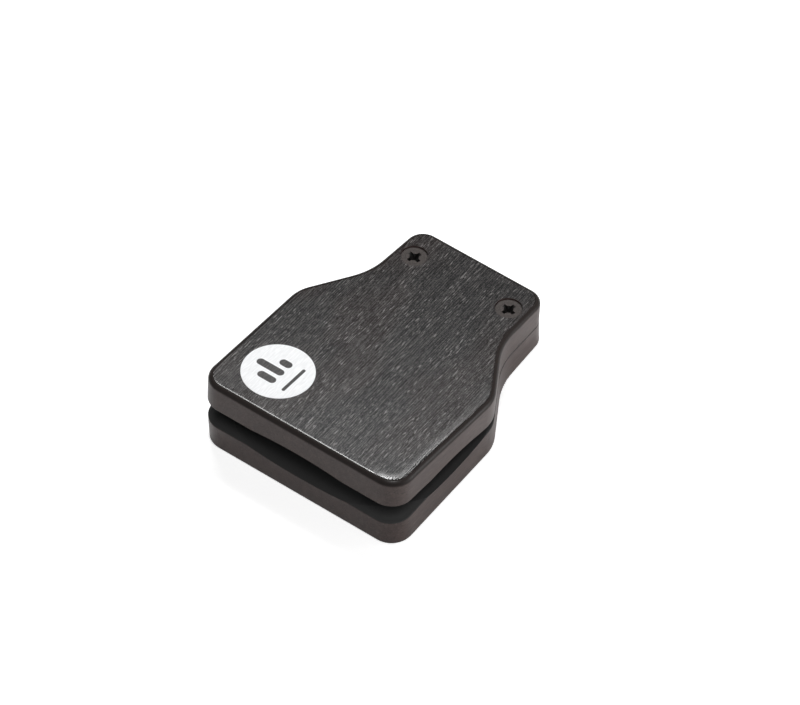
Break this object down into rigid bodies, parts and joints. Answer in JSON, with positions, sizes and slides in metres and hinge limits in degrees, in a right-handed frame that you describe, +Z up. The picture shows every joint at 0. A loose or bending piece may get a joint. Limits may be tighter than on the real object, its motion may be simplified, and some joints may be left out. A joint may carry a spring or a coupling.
{
  "type": "castanets",
  "caption": "Flat hand castanets: a dished wooden plate rocks on a matching one at a screwed neck and claps when squeezed.",
  "frame": {"origin": "centre of the underside, halfway along the bottom plate", "axes": "+Z up, -Y towards the striking end, +Y towards the neck, X across the plates"},
  "size_m": [0.08, 0.1015, 0.0295],
  "materials": {
    "stained_wood": "black stain with open pores, satin",
    "badge_face": "smooth printed label",
    "dark_screw": "black oxide, satin",
    "zinc_steel": "zinc plated",
    "black_rubber": "matt"
  },
  "bodies": {
    "lower_half": {"bottom_plate": "stained_wood", "left_rubber_ring": "black_rubber", "right_rubber_ring": "black_rubber"},
    "upper_half": {"top_plate": "stained_wood", "badge": "badge_face", "left_screw": "dark_screw", "left_washer": "zinc_steel", "left_nut": "zinc_steel", "right_screw": "dark_screw", "right_washer": "zinc_steel", "right_nut": "zinc_steel"}
  },
  "joints": [
    {"name": "clap", "type": "hinge", "parent": "lower_half", "child": "upper_half", "pos_m": [0, 0.02665, 0.01073], "axis": [1, 0, 0], "range_deg": [0, 6.1], "stiffness_Nm_per_rad": 4.2, "springref_deg": -1.72, "deforming": ["left_rubber_ring", "right_rubber_ring"]}
  ]
}
